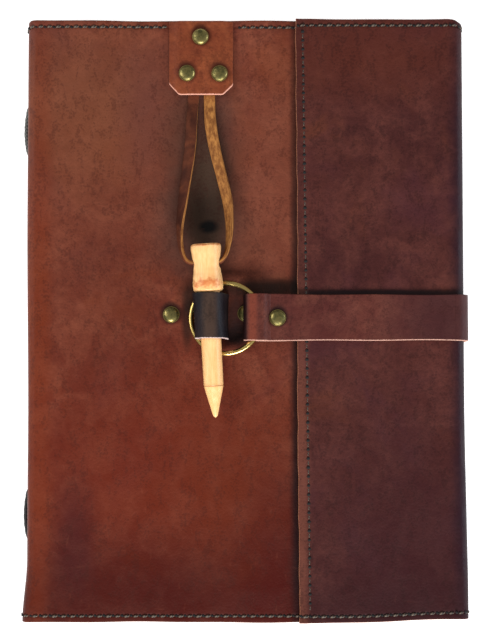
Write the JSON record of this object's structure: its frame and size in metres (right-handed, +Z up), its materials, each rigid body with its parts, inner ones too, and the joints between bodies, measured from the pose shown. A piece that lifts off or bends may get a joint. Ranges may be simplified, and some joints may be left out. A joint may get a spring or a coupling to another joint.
{
  "type": "leather notebook cover",
  "caption": "Leather notebook cover with a wrap-over flap round a sewn paper block, closed by a strap and ring that a wooden peg locks in a leather keeper.",
  "frame": {"origin": "centre of the back cover's underside, which the closed book rests on", "axes": "+X to the fore edge, +Y to the head of the book, +Z up through the front cover"},
  "size_m": [0.2421, 0.328, 0.0489],
  "materials": {
    "cover_leather": "waxed, mottled red-brown, satin",
    "lining_leather": "flesh side, matt",
    "strap_leather": "waxed, satin",
    "tab_leather": "waxed, satin",
    "keeper_leather": "waxed, dark",
    "thong_leather": "grain and flesh sides",
    "thread": "waxed thread",
    "grey_lace": "waxed cord",
    "black_lace": "waxed cord",
    "antique_brass": "antiqued",
    "ring_brass": "polished, dulled",
    "peg_wood": "smooth, oiled",
    "paper": "uncoated, cut edges"
  },
  "bodies": {
    "back_cover": {"back_cover": "cover_leather", "back_lining": "lining_leather", "spine": "cover_leather", "spine_lining": "lining_leather", "back_stitching": "thread", "spine_stitching": "thread", "paper_sections": "paper", "upper_spine_lace": "grey_lace", "lower_spine_lace": "black_lace", "strap_tail": "strap_leather", "tail_rivets": "antique_brass"},
    "front_cover": {"front_cover": "cover_leather", "front_lining": "lining_leather", "front_stitching": "thread", "top_tab": "tab_leather", "tab_rivets": "antique_brass", "keeper_loop": "keeper_leather", "keeper_rivets": "antique_brass", "thong": "thong_leather"},
    "peg": {"toggle_peg": "peg_wood"},
    "fore_edge": {"fore_edge": "cover_leather", "fore_edge_lining": "lining_leather", "fore_edge_stitching": "thread", "strap_bend": "strap_leather"},
    "flap": {"flap": "cover_leather", "flap_lining": "lining_leather", "flap_stitching": "thread"},
    "strap": {"strap": "strap_leather", "strap_rivet": "antique_brass"},
    "ring": {"ring": "ring_brass"}
  },
  "joints": [
    {"name": "front_fold", "type": "hinge", "parent": "back_cover", "child": "front_cover", "pos_m": [-0.11724, 0, 0.02484], "axis": [0, -1, 0], "range_deg": [0, 175]},
    {"name": "peg_slide", "type": "slide", "parent": "front_cover", "child": "peg", "axis": [-0.0576, 0.9962, 0.0659], "range_m": [0, 0.076], "deforming": ["thong"]},
    {"name": "fore_edge_fold", "type": "hinge", "parent": "back_cover", "child": "fore_edge", "pos_m": [0.11683, 0, 0.00237], "axis": [0, 1, 0], "range_deg": [0, 90]},
    {"name": "flap_fold", "type": "hinge", "parent": "fore_edge", "child": "flap", "pos_m": [0.11683, 0, 0.02783], "axis": [0, 1, 0], "range_deg": [0, 80]},
    {"name": "strap_lift", "type": "hinge", "parent": "flap", "child": "strap", "pos_m": [0.112, 0.0011, 0.0315], "axis": [0, -1, 0], "range_deg": [-110, 0]},
    {"name": "ring_turn", "type": "hinge", "parent": "strap", "child": "ring", "pos_m": [-0.01022, 0.0007, 0.03078], "axis": [-0.1296, 0, 0.9916], "continuous": true}
  ]
}
